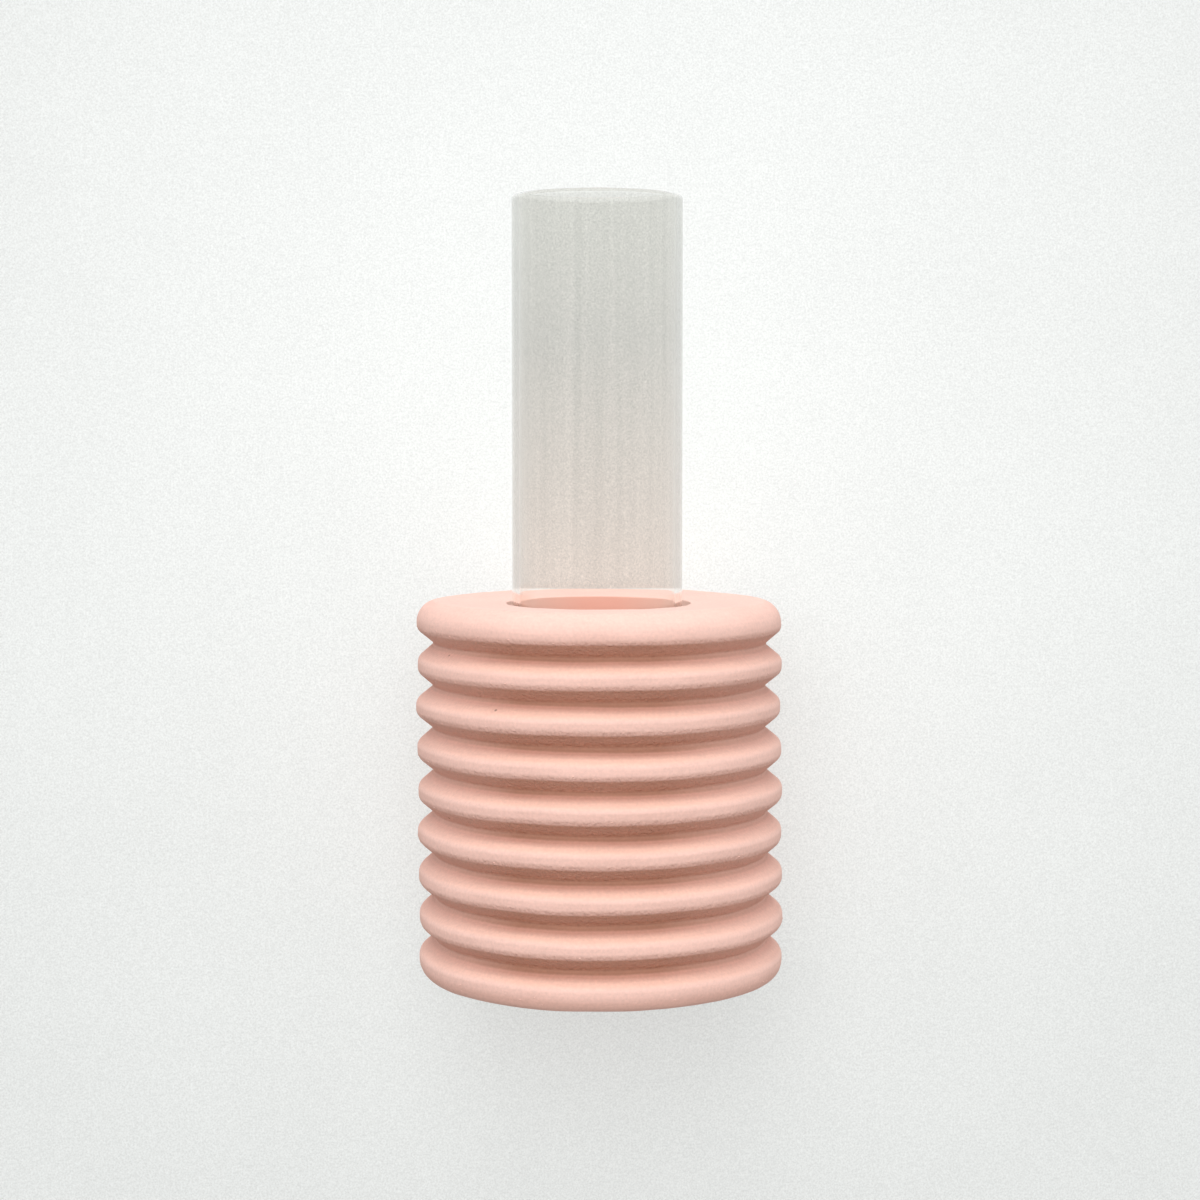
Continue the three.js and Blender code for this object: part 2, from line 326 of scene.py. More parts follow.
def shaded(tree, colour, tone):
    # a colour made lighter or darker by a tone round 1
    grey = addNode(tree, "ShaderNodeCombineColor", {0: tone, 1: tone, 2: tone}).outputs[0]
    return blend(tree, 1.0, colour, grey, "MULTIPLY")


def bump(tree, height, strength, distance, below=None):
    inputs = {"Height": height, "Strength": strength, "Distance": distance * mm}
    if below is not None:
        inputs["Normal"] = below
    return addNode(tree, "ShaderNodeBump", inputs).outputs[0]


def fromAxis(tree, place):
    # distance from the upright axis of the body
    away = vectorCalc(tree, "SUBTRACT", place, (0, axisY * mm, 0))
    return vectorCalc(tree, "LENGTH", vectorCalc(tree, "MULTIPLY", away, (1, 1, 0)))


def mixShaders(tree, amount, first, second):
    return addNode(tree, "ShaderNodeMixShader", {0: amount, 1: first, 2: second}).outputs[0]


def seenDirectly(tree):
    # rays from the camera, also by way of metal or glass
    path = addNode(tree, "ShaderNodeLightPath").outputs
    mirrored = calc(tree, "MAXIMUM", path["Is Glossy Ray"], path["Is Transmission Ray"])
    return calc(tree, "MAXIMUM", path["Is Camera Ray"], mirrored)


ceramicLook = {
    # the first two colours are painted light and painted shade, chosen by which way the surface faces
    "litFacing": (0.985, 0.648, 0.562, 1), "shadedFacing": (0.84, 0.51, 0.425, 1),
    # the first colour below is painted light on the flat top; the speck is the clay's own
    "dusted": (0.985, 0.682, 0.598, 1), "speck": (0.25, 0.13, 0.09, 1),
    # the next five colours are painted shade in the grooves: shoulders, ledges, undersides, floors and a
    # dark line along the floors
    "shoulder": (1.0, 0.94, 0.88, 1), "ledgeShadow": (0.7, 0.56, 0.5, 1), "under": (0.712, 0.62, 0.54, 1),
    "floor": (0.663, 0.545, 0.45, 1), "grooveShadow": (0.478, 0.37, 0.295, 1),
    # painted bounce light in the bore: a deep red where light bounces inside, lighter towards the sides
    # and the ends of the mouth
    "bore": (1.0, 0.512, 0.408, 1), "boreSide": (1.0, 0.61, 0.505, 1), "boreEnd": (1.0, 0.69, 0.585, 1),
    "cloudScale": 55, "grainScale": 1500, "brushScale": 1300, "lumpScale": 420, "pitScale": 1150,
    "speckScale": 95, "speckRadius": 0.02, "speckRare": 0.72, "speckDepth": 0.75,
    # where a zone starts and ends, by slope: 1 faces up, -1 down
    "litFacingSlope": (-0.36, 0.14), "topLightSlope": (0.97, 0.995), "shoulderShadeSlope": (0.3, 0.7),
    "ledgeShadowSlope": (0.3, 0.6), "underShadeSlope": (-0.56, -0.75), "grooveShadowSlope": (-0.7, -0.1),
    "wornSlope": (0.05, -0.35),
    # by distance from the axis
    "ribReach": (33, 34), "ledgeShadowReach": (38.7, 37.6), "floorShadeReach": (37.3, 36.9),
    "boreReach": (21.2, 20.6),
    # below the top, above the underside, in from the flat back
    "topLightDepth": (2, 1), "ribDepth": (4.7, 6), "boreDepth": (0.6, 0.8),
    "ribRise": (3.7, 5), "boreRise": (5, 10), "ribInward": (0.1, 0.6),
    # to the sides: how much painted groove shade is left there, and where the painted light of the
    # bore's sides and ends starts
    "right": (12, 35), "rightShadeShare": 0.37, "left": (-17, -36), "leftShadeShare": 0.33,
    "boreSideLightFrom": (4, 14), "boreEndLightFrom": (15, 18),
}


def paintedGrooveShade(tree, look, slope, reach):
    # painted shade: the shoulders and ledges in the shadow of the rib above, the undersides and the
    # floors of the grooves are darkened
    ledgeShadow = times(tree, between(tree, slope, *look["ledgeShadowSlope"]),
                  zone(tree, reach, *look["ledgeShadowReach"]))
    floor = blend(tree, between(tree, slope, *look["grooveShadowSlope"]), look["floor"], look["grooveShadow"])
    tint = blend(tree, between(tree, slope, *look["shoulderShadeSlope"]), (1, 1, 1, 1), look["shoulder"])
    tint = blend(tree, ledgeShadow, tint, look["ledgeShadow"])
    tint = blend(tree, between(tree, slope, *look["underShadeSlope"]), tint, look["under"])
    return blend(tree, zone(tree, reach, *look["floorShadeReach"]), tint, floor)


def paintedBoreLight(tree, look, x):
    # painted light: the bore is made lighter towards its sides and the ends of the mouth
    aside = calc(tree, "ABSOLUTE", x)
    colour = blend(tree, zone(tree, aside, *look["boreSideLightFrom"]), look["bore"], look["boreSide"])
    return blend(tree, zone(tree, aside, *look["boreEndLightFrom"]), colour, look["boreEnd"])


def makePinkCeramic(look):
    finish, tree, shader, place = newFinish("pinkCeramic", Specular_IOR_Level=0.22)
    split = axes(tree, place)
    depth = calc(tree, "SUBTRACT", bodyHigh.z * mm, split["Z"])
    rise = calc(tree, "SUBTRACT", split["Z"], bodyLow.z * mm)
    inward = calc(tree, "SUBTRACT", flatY * mm, split["Y"])
    reach = fromAxis(tree, place)
    slope = axes(tree, addNode(tree, "ShaderNodeTexCoord").outputs["Normal"])["Z"]
    cloud = noise(tree, place, look["cloudScale"], 3, 0.55)
    grain = noise(tree, place, look["grainScale"], 3, 0.6)
    brushed = noise(tree, stretched(tree, place, 0.06, 0.06, 1), look["brushScale"], 3, 0.65)
    # painted light and shade by slope: lighter where the surface faces up and darker where it faces
    # down, with a random cloudy tone
    litShare = calc(tree, "ADD", between(tree, slope, *look["litFacingSlope"]), spread(tree, cloud, -0.12, 0.12))
    colour = blend(tree, litShare, look["shadedFacing"], look["litFacing"])
    # painted light: the flat top is made lighter still
    top = times(tree, between(tree, slope, *look["topLightSlope"]),
                zone(tree, depth, *look["topLightDepth"]))
    colour = blend(tree, top, colour, look["dusted"])
    # fine light and dark grains, and faint turning lines
    powder = times(tree, spread(tree, grain, 0.93, 1.05), spread(tree, brushed, 0.97, 1.03))
    colour = shaded(tree, colour, powder)
    # a dark speck in some of the cells
    cells = addNode(tree, "ShaderNodeTexVoronoi", {"Vector": place, "Scale": look["speckScale"]}).outputs
    near = between(tree, cells["Distance"], look["speckRadius"], look["speckRadius"] * 2, 1, 0)
    chosen = addNode(tree, "ShaderNodeSeparateColor", {0: cells["Color"]}).outputs[0]
    speck = times(tree, near, calc(tree, "GREATER_THAN", chosen, look["speckRare"]), look["speckDepth"])
    colour = blend(tree, speck, colour, look["speck"])
    # painted shade in the ribs and grooves, less of it towards the sides
    ribbed = times(tree, zone(tree, reach, *look["ribReach"]), zone(tree, depth, *look["ribDepth"]),
                   zone(tree, rise, *look["ribRise"]), zone(tree, inward, *look["ribInward"]))
    sides = times(tree, zone(tree, split["X"], *look["right"], 1, look["rightShadeShare"]),
                  zone(tree, split["X"], *look["left"], 1, look["leftShadeShare"]))
    grooveShaded = blend(tree, 1.0, colour, paintedGrooveShade(tree, look, slope, reach), "MULTIPLY")
    colour = blend(tree, times(tree, ribbed, sides), colour, grooveShaded)
    # painted bounce light inside the bore, lighter towards its sides and the ends of the mouth
    paintedBoreZone = times(tree, zone(tree, reach, *look["boreReach"]), zone(tree, depth, *look["boreDepth"]),
                   zone(tree, rise, *look["boreRise"]))
    colour = blend(tree, paintedBoreZone, colour, paintedBoreLight(tree, look, split["X"]))
    # lumps, rough lower edges, turning lines and grain
    pits = between(tree, noise(tree, place, look["pitScale"], 2, 0.6), 0.35, 0.75)
    worn = times(tree, ribbed, between(tree, slope, *look["wornSlope"]))
    normal = bump(tree, noise(tree, place, look["lumpScale"], 2, 0.5), 0.25, 0.12)
    normal = bump(tree, pits, worn, 0.26, normal)
    normal = bump(tree, brushed, 0.25, 0.06, normal)
    normal = bump(tree, grain, 0.4, 0.1, normal)
    dress(tree, shader, colour, spread(tree, cloud, 0.84, 0.95), normal)
    return finish


glassLook = {
    # the first colour is a painted reflection of the pink body low on the tube; the grey tint follows
    # above
    "foot": (0.75, 0.671, 0.625, 1), "top": (0.632, 0.621, 0.598, 1), "rim": (0.69, 0.69, 0.661, 1),
    # the first colour below is painted light just under the rim; the last is a painted reflection of the
    # body's pink
    "lip": (0.92, 0.92, 0.9, 1), "clear": (1.0, 0.992, 0.98, 1), "sidePinkReflection": (0.985, 0.88, 0.83, 1),
    # where a tint starts and ends, above the top of the body
    "pinkReflectionToTop": (2.7, 57.6), "topToRim": (57.6, 84.6), "bandTop": (2.3, 2.7), "bandFoot": (-4.9, -14.4),
    "bandTilt": 0.07, "pinkReflectionBelow": (3.6, 2.6),
    # below the rim, to both sides, and from the axis
    "rimLightDepth": (1.2, 0.6), "pinkReflectionFrom": (15.5, 18), "skin": 17.9,
    "streakScale": 420, "grainScale": 2200, "edgeFrom": (0.58, 0.9), "edgeTone": 0.76, "freeAfter": 3.5,
}


def makeClearGlass(look):
    finish, tree, shader, place = newFinish("clearGlass", IOR=1.33, Transmission_Weight=1.0)
    split = axes(tree, place)
    rise = calc(tree, "SUBTRACT", split["Z"], bodyHigh.z * mm)
    depth = calc(tree, "SUBTRACT", tubeHigh.z * mm, split["Z"])
    # painted reflection: a pink tint low on the tube stands for the pink body reflected in the glass,
    # fading into the grey tint higher up
    colour = blend(tree, zone(tree, rise, *look["pinkReflectionToTop"]), look["foot"], look["top"])
    colour = blend(tree, zone(tree, rise, *look["topToRim"]), colour, look["rim"])
    # painted light: the glass just below the rim is made lighter
    colour = blend(tree, zone(tree, depth, *look["rimLightDepth"]), colour, look["lip"])
    # faint lines of drawn glass along the tube, and a deeper tint where its wall is seen edge on
    streak = noise(tree, stretched(tree, place, 1, 1, 0.02), look["streakScale"], 2, 0.5)
    grain = noise(tree, place, look["grainScale"], 2, 0.6)
    edgeOn = addNode(tree, "ShaderNodeLayerWeight", {"Blend": 0.5}).outputs["Facing"]
    tone = times(tree, between(tree, streak, 0.35, 0.65, 0.96, 1.04), spread(tree, grain, 0.89, 1.11),
                 between(tree, edgeOn, *look["edgeFrom"], 1, look["edgeTone"]))
    colour = shaded(tree, colour, tone)
    # the tint lies on the outer skin, and leaves a clear band at the mouth of the bore
    back = calc(tree, "SUBTRACT", split["Y"], axisY * mm)
    level = calc(tree, "ADD", rise, times(tree, back, look["bandTilt"]))
    tinted = calc(tree, "MAXIMUM", zone(tree, level, *look["bandTop"]),
                  zone(tree, rise, *look["bandFoot"]))
    outer = calc(tree, "GREATER_THAN", fromAxis(tree, place), look["skin"] * mm)
    # painted reflection: the sides of the band take a little of the body's pink
    aside = calc(tree, "ABSOLUTE", split["X"])
    sides = times(tree, zone(tree, aside, *look["pinkReflectionFrom"]), zone(tree, rise, *look["pinkReflectionBelow"]))
    band = blend(tree, sides, look["clear"], look["sidePinkReflection"])
    colour = blend(tree, times(tree, outer, tinted), band, colour)
    dress(tree, shader, colour, 0.02, bump(tree, streak, 0.02, 0.1))
    # light passes, so the tube throws no hard shadow and the bore stays bright,
    # and light caught in the wall gets out after a few turns, so the rim isn't black
    path = addNode(tree, "ShaderNodeLightPath").outputs
    caught = calc(tree, "GREATER_THAN", path["Ray Depth"], look["freeAfter"])
    through = addNode(tree, "ShaderNodeBsdfTransparent").outputs[0]
    surface = shader.outputs[0]
    for passes in (path["Is Shadow Ray"], path["Is Diffuse Ray"], caught):
        surface = mixShaders(tree, passes, surface, through)
    feed(tree, tree.nodes["Material Output"].inputs["Surface"], surface)
    return finish


siliconeLook = {"clean": (0.8, 0.77, 0.71, 1), "dusty": (0.74, 0.71, 0.65, 1), "dustScale": 900}


def makeSeatSilicone(look):
    finish, tree, shader, place = newFinish(
        "seatSilicone", Subsurface_Weight=0.15, Subsurface_Scale=1 * mm)
    dust = noise(tree, place, look["dustScale"], 3, 0.6)
    colour = blend(tree, between(tree, dust, 0.4, 0.65), look["clean"], look["dusty"])
    dress(tree, shader, colour, spread(tree, dust, 0.5, 0.68), bump(tree, dust, 0.15, 0.05))
    return finish


steelLook = {
    "dark": (0.46, 0.475, 0.49, 1), "bright": (0.58, 0.59, 0.6, 1), "worn": (0.36, 0.36, 0.36, 1),
    "brushScale": 4200, "wearScale": 160,
}


def makePlateSteel(look):
    finish, tree, shader, place = newFinish("plateSteel", Metallic=1.0, Anisotropic=0.4)
    brushed = noise(tree, stretched(tree, place, 1, 1, 0.03), look["brushScale"], 3, 0.6)
    wear = noise(tree, place, look["wearScale"], 3, 0.6)
    colour = blend(tree, spread(tree, brushed, 0, 1), look["dark"], look["bright"])
    colour = blend(tree, between(tree, wear, 0.5, 0.8, 0, 0.35), colour, look["worn"])
    dress(tree, shader, colour, spread(tree, brushed, 0.3, 0.44), bump(tree, brushed, 0.12, 0.03))
    return finish


zincLook = {
    "light": (0.6, 0.61, 0.6, 1), "dark": (0.52, 0.53, 0.55, 1), "flakeScale": 700, "pitScale": 2500,
}


def makeZincSteel(look):
    finish, tree, shader, place = newFinish("zincSteel", Metallic=1.0)
    flakes = noise(tree, place, look["flakeScale"], 2, 0.6)
    pits = noise(tree, place, look["pitScale"], 2)
    colour = blend(tree, between(tree, flakes, 0.35, 0.65), look["light"], look["dark"])
    dress(tree, shader, colour, spread(tree, flakes, 0.26, 0.42), bump(tree, pits, 0.08, 0.02))
    return finish


brassLook = {"bright": (0.62, 0.4, 0.12, 1), "tarnished": (0.45, 0.27, 0.08, 1), "tarnishScale": 500}


def makeInsertBrass(look):
    finish, tree, shader, place = newFinish("insertBrass", Metallic=1.0)
    tarnish = noise(tree, place, look["tarnishScale"], 3, 0.6)
    colour = blend(tree, between(tree, tarnish, 0.35, 0.7), look["bright"], look["tarnished"])
    dress(tree, shader, colour, spread(tree, tarnish, 0.25, 0.45), bump(tree, tarnish, 0.08, 0.03))
    return finish


nylonLook = {
    "light": (0.33, 0.34, 0.35, 1), "dark": (0.29, 0.3, 0.31, 1), "skinScale": 1400, "flowScale": 300,
}


def makePlugNylon(look):
    finish, tree, shader, place = newFinish("plugNylon")
    moulded = noise(tree, place, look["skinScale"], 3, 0.6)
    flow = noise(tree, stretched(tree, place, 1, 0.15, 1), look["flowScale"], 2, 0.5)
    colour = blend(tree, between(tree, flow, 0.35, 0.65), look["light"], look["dark"])
    dress(tree, shader, colour, spread(tree, moulded, 0.45, 0.6), bump(tree, moulded, 0.12, 0.04))
    return finish


feltLook = {"deep": (0.6, 0.56, 0.5, 1), "tips": (0.76, 0.72, 0.66, 1), "fibreScale": 3200}


def makeBumperFelt(look):
    finish, tree, shader, place = newFinish(
        "bumperFelt", Specular_IOR_Level=0.1, Sheen_Weight=0.35, Sheen_Roughness=0.6)
    # two crossing layers of short fibres
    across = noise(tree, stretched(tree, place, 0.15, 1, 1), look["fibreScale"], 3, 0.7)
    along = noise(tree, stretched(tree, place, 1, 1, 0.15), look["fibreScale"], 3, 0.7)
    fibre = calc(tree, "MAXIMUM", across, along)
    colour = blend(tree, between(tree, fibre, 0.4, 0.75), look["deep"], look["tips"])
    dress(tree, shader, colour, 1.0, bump(tree, fibre, 0.6, 0.15))
    return finish


pinkCeramic = makePinkCeramic(ceramicLook)
clearGlass = makeClearGlass(glassLook)
seatSilicone = makeSeatSilicone(siliconeLook)
plateSteel = makePlateSteel(steelLook)
zincSteel = makeZincSteel(zincLook)
insertBrass = makeInsertBrass(brassLook)
plugNylon = makePlugNylon(nylonLook)
bumperFelt = makeBumperFelt(feltLook)
print("finishes made")


# ribbed body

bodyLook = {
    "ribs": 9, "pitch": 9.25, "crestFlat": 0.5, "ribRound": 2.0, "flankAngle": 50, "grooveRound": 0.7,
    "topEdge": (4.5, 4.7), "bottomEdge": (2.8, 3.7), "dish": 0.6,
    "bore": 20.2, "mouthRound": 0.2, "base": 18.2, "flatCut": 5.0,
    "drift": 0.14, "waver": 0.12, "waverScale": 45, "lumps": 0.05, "lumpScale": 160,
    "slip": -0.45, "slipRib": 3, "lean": 0.0045, "leanFrom": -30, "seed": 7.3,
    "crumbSize": 0.22, "crumbDensity": 90000, "crumbReach": 1.3, "crumbSeed": 4, "segments": 256,
}
plateLook = {
    "gap": 0.3, "corner": 5.0, "slot": 2.3, "entry": 4.8, "travel": 10.0,
    "pocket": 5.3, "pocketDepth": 6.0, "insertHole": 3.2, "insertDepth": 9.1, "edge": 0.15,
}


def grooveOutline(look):
    # from one crest up to the next, as depth and height:
    # round shoulder, straight flank, narrow round floor
    bend, floor, slope = look["ribRound"], look["grooveRound"], math.radians(look["flankAngle"])
    middle = look["pitch"] / 2
    shoulder = arc(bend, look["crestFlat"], -bend, bend, 0, slope, 8)
    depth, height = shoulder[-1]
    centre = depth + math.tan(slope) * (middle - height) - floor / math.cos(slope)
    hollow = arc(centre, middle, floor, floor, -slope, slope, 6)
    rise = shoulder + run(shoulder[-1], hollow[0], 6)
    fall = [(depth, look["pitch"] - height) for depth, height in reversed(rise)]
    return rise + hollow + fall + [(0, look["pitch"])]


def bodyOutline(look, radius, bottom, top):
    topWide, topHigh = look["topEdge"]
    lowWide, lowHigh = look["bottomEdge"]
    crest = bottom + lowHigh
    outline = [(0, bottom)] + run((0, bottom), (radius - lowWide, bottom), 14)
    outline += arc(radius - lowWide, crest, lowWide, lowHigh, -quarter, 0, 12)
    for rib in range(look["ribs"] - 1):
        outline += [(radius - depth, crest + height) for depth, height in grooveOutline(look)]
        crest += look["pitch"]
    outline += arc(radius - topWide, crest, topWide, topHigh, 0, quarter, 14)[1:]
    # dished top, rounded mouth and bore
    bore, bend, floor = look["bore"], look["mouthRound"], bottom + look["base"]
    mouth = arc(bore + bend, top - look["dish"] - bend, bend, bend, quarter, math.pi, 6)
    outline += run(outline[-1], mouth[0], 9) + mouth
    outline += run(mouth[-1], (bore, floor), 16) + [(bore, floor)]
    return outline + run((bore, floor), (0, floor), 6) + [(0, floor)]


def makeHandTree():
    # uneven hand work: each rib drifts a little, the whole wavers, the skin is lumpy
    tree, given = newTree("handWork", {
        "Pitch": "Float", "Drift": "Float", "Waver": "Float", "Waver Scale": "Float",
        "Lumps": "Float", "Lump Scale": "Float", "Slip": "Float", "Slip Height": "Float",
        "Lean": "Float", "Lean From": "Float", "Seed": "Float", "Finish": "Material"})
    spot = position(tree)
    height = axes(tree, spot)["Z"]
    step = calc(tree, "ADD", calc(tree, "DIVIDE", height, given["Pitch"]), given["Seed"])
    drifts = []
    for shift in (0.0, 31.7):  # far apart in the noise, so X and Y drift on their own
        along = {"W": calc(tree, "ADD", step, shift), "Scale": 0.9, "Detail": 0.0}
        wave = addNode(tree, "ShaderNodeTexNoise", along, noise_dimensions="1D").outputs["Fac"]
        drifts.append(times(tree, between(tree, wave, 0.2, 0.8, -1, 1), given["Drift"]))
    # one rib sits a little to the side, and the stack leans
    away = calc(tree, "DIVIDE", calc(tree, "SUBTRACT", height, given["Slip Height"]), given["Pitch"])
    bell = calc(tree, "EXPONENT", times(tree, away, away, -5.0))
    lean = times(tree, calc(tree, "SUBTRACT", given["Lean From"], height), given["Lean"])
    aside = calc(tree, "ADD", times(tree, bell, given["Slip"]), lean)
    offset = joinAxes(tree, X=calc(tree, "ADD", drifts[0], aside), Y=drifts[1])
    drifted = moved(tree, given["Geometry"], Offset=offset)
    # a noise strays about a quarter from its middle, so waver and lumps are taken some times over
    seed = joinAxes(tree, X=given["Seed"], Y=given["Seed"])
    field = vectorCalc(tree, "ADD", scaled(tree, spot, given["Waver Scale"]), seed)
    cloud = vectorCalc(tree, "SUBTRACT", noise(tree, field, 1.0, 1.0, 0.5, "Color"), (0.5, 0.5, 0.5))
    waved = moved(tree, drifted, Offset=scaled(tree, cloud, times(tree, given["Waver"], 4.0)))
    skin = calc(tree, "SUBTRACT", noise(tree, spot, given["Lump Scale"], 2.0), 0.5)
    outward = addNode(tree, "GeometryNodeInputNormal").outputs[0]
    lumps = times(tree, skin, times(tree, given["Lumps"], 3.0))
    lumpy = moved(tree, waved, Offset=scaled(tree, outward, lumps))
    return closeTree(tree, lumpy, given["Finish"])


def makeCrumbTree():
    # crumbs of clay left on the lower edges of the ribs
    tree, given = newTree("edgeCrumbs", {
        "Axis": "Vector", "Foot": "Float", "Size": "Float", "Density": "Float",
        "Seed": "Int", "Finish": "Material"})
    spot = vectorCalc(tree, "SUBTRACT", position(tree), given["Axis"])
    reach = vectorCalc(tree, "LENGTH", vectorCalc(tree, "MULTIPLY", spot, (1, 1, 0)))
    slope = axes(tree, addNode(tree, "GeometryNodeInputNormal").outputs[0])["Z"]
    chosen = times(tree, calc(tree, "GREATER_THAN", reach, given["Foot"]),
                   calc(tree, "LESS_THAN", slope, -0.05), calc(tree, "GREATER_THAN", slope, -0.55))
    points = addNode(tree, "GeometryNodeDistributePointsOnFaces", {
        "Mesh": given["Geometry"], "Selection": chosen,
        "Density": given["Density"], "Seed": given["Seed"]}).outputs
    ball = addNode(tree, "GeometryNodeMeshIcoSphere", {"Radius": given["Size"], "Subdivisions": 1})
    shares = {0: (0.4, 0.4, 0.3), 1: (1.5, 1.0, 0.6), 8: given["Seed"]}  # smallest and largest, seed
    size = addNode(tree, "FunctionNodeRandomValue", shares, data_type="FLOAT_VECTOR")
    grains = addNode(tree, "GeometryNodeInstanceOnPoints", {
        "Points": points["Points"], "Instance": ball.outputs["Mesh"],
        "Rotation": points["Rotation"], "Scale": size.outputs[0]})
    return closeTree(tree, joined(tree, grains.outputs[0], given["Geometry"]), given["Finish"])


def backCuts(look, plate):
    # flat back, recess for the plate, pocket for the screw head, holes for the sleeves
    gap, pocket = plate["gap"], plate["pocket"]
    half = (plateHigh.x - plateLow.x) / 2 + gap
    back = rectangle(bodyRadius + 2 * past, bodyLow.z - 2 * past, bodyHigh.z + 2 * past)
    recess = roundedBox(plateLow.z - gap, plateHigh.z + gap, half, plate["corner"] + gap)
    hollow = roundedBox(-plate["travel"] - pocket, pocket, pocket, pocket, 16)
    cuts = [prism("backCut", back, flatY, flatY + look["flatCut"] + 2 * past),
            prism("recessCut", recess, plateLow.y - gap, flatY + past),
            prism("pocketCut", hollow, flatY - plate["pocketDepth"], flatY + past)]
    for z in fixingHeights:
        hole = circle(0, z, plate["insertHole"])
        cuts.append(prism("sleeveCut", hole, flatY - plate["insertDepth"], flatY + past))
    return cuts


def makeBody(look, plate):
    low, high = bodyLow.z, bodyHigh.z
    body = turned("ribbedBody", bodyOutline(look, bodyRadius, low, high), look["segments"],
                  pinkCeramic, (0, axisY, 0))
    slipHeight = high - look["topEdge"][1] - (look["slipRib"] - 1) * look["pitch"]
    addTree(body, makeHandTree(), {
        "Pitch": look["pitch"] * mm, "Drift": look["drift"] * mm,
        "Waver": look["waver"] * mm, "Waver Scale": float(look["waverScale"]),
        "Lumps": look["lumps"] * mm, "Lump Scale": float(look["lumpScale"]),
        "Slip": look["slip"] * mm, "Slip Height": slipHeight * mm, "Lean": look["lean"],
        "Lean From": look["leanFrom"] * mm, "Seed": look["seed"], "Finish": pinkCeramic})
    tools = backCuts(look, plate)
    cut(body, *tools)
    addTree(body, makeCrumbTree(), {
        "Axis": (0, axisY * mm, 0), "Foot": (bodyRadius - look["crumbReach"]) * mm,
        "Size": look["crumbSize"] * mm, "Density": float(look["crumbDensity"]),
        "Seed": look["crumbSeed"], "Finish": pinkCeramic})
    settle(body, *tools, creaseAngle=50)
    for face in body.data.polygons:
        face.use_smooth = face.normal.y < 0.999  # the flat back stays flat
    deliver(body, "vase", "pink_ceramic", "vase_body")


makeBody(bodyLook, plateLook)


# glass tube

tubeLook = {"wall": 1.6, "floor": 2.6, "corner": 3.0, "innerCorner": 1.4, "aside": -0.6, "segments": 192}


def makeTube(look):
    radius = (tubeHigh.x - tubeLow.x) / 2
    length = tubeHigh.z - tubeLow.z
    rim = look["wall"] / 2
    inner = radius - look["wall"]
    corner, bend, floor = look["corner"], look["innerCorner"], look["floor"]
    outline = [(0, 0)] + run((0, 0), (radius - corner, 0), 4)
    outline += arc(radius - corner, corner, corner, corner, -quarter, 0, 12)
    outline += run(outline[-1], (radius, length - rim), 12)
    outline += arc(radius - rim, length - rim, rim, rim, 0, math.pi, 14)
    outline += run(outline[-1], (inner, floor + bend), 12)
    outline += arc(inner - bend, floor + bend, bend, bend, 0, -quarter, 8)
    outline += run(outline[-1], (0, floor), 4) + [(0, floor)]
    tube = turned("glassTube", outline, look["segments"], clearGlass, (look["aside"], axisY, tubeLow.z))
    settle(tube)
    deliver(tube, "tube", "clear_glass", "glass_tube")


makeTube(tubeLook)


# seat under the tube

seatLook = {"edge": 0.4, "rings": (6.0, 10.5, 15.0), "ringWidth": 1.2, "ringDepth": 0.5, "segments": 96}


def makeSeat(look):
    low, high = boxOf("tube_seat")
    radius = (high.x - low.x) / 2
    thick = high.z - low.z
    edge = look["edge"]
    outline = [(0, 0)] + arc(radius - edge, edge, edge, edge, -quarter, 0, 4)
    outline += arc(radius - edge, thick - edge, edge, edge, 0, quarter, 4)
    for ring in reversed(look["rings"]):
        outline += arc(ring, thick, look["ringWidth"] / 2, look["ringDepth"], 0, -math.pi, 8)
    seat = turned("tubeSeat", outline + [(0, thick)], look["segments"], seatSilicone, (0, axisY, low.z))
    settle(seat)
    deliver(seat, "vase", "seat_silicone", "tube_seat")


makeSeat(seatLook)


# keyhole plate and its two screws

fixingLook = {
    "headEdge": 0.2, "shank": 1.5, "headHeight": 1.5, "tip": 0.5, "socket": 1.15, "socketDepth": 0.9,
    "segments": 48, "sinkSegments": 64,
}


def keyhole(plate):
    slot, entry = plate["slot"], plate["entry"]
    join = math.acos(slot / entry)
    return (arc(0, 0, slot, slot, 0, math.pi, 24)
            + arc(0, -plate["travel"], entry, entry, math.pi - join, 2 * math.pi + join, 48))


def makePlate(plate, fixing):
    half = (plateHigh.x - plateLow.x) / 2
    outline = roundedBox(plateLow.z, plateHigh.z, half, plate["corner"], 14)
    piece = prism("hangerPlate", outline, plateLow.y, flatY)
    piece.data.materials.append(plateSteel)
    tools = [prism("keyholeCut", keyhole(plate), plateLow.y - past, flatY + past)]
    # countersunk holes, wider than the screws by the gap
    low, high = boxOf("hanger_screw_upper")
    gap = plate["gap"]
    head, shank, deep = (high.x - low.x) / 2 + gap, fixing["shank"] + gap, fixing["headHeight"] + gap
    slope = (head - shank) / deep
    tail = deep + 2 * past
    cone = [(0, -past), (head + slope * past, -past), (shank, deep), (shank, tail), (0, tail)]
    tools += [turned("coneCut", cone, fixing["sinkSegments"], place=(0, flatY, z), fromWall=True)
              for z in fixingHeights]
    cut(piece, *tools)
    rounding = piece.modifiers.new("edges", "BEVEL")
    rounding.width = plate["edge"] * mm
    rounding.segments = 2
    rounding.limit_method = "ANGLE"
    rounding.angle_limit = math.radians(40)
    settle(piece, *tools)
    deliver(piece, "vase", "plate_steel", "hanger_plate")


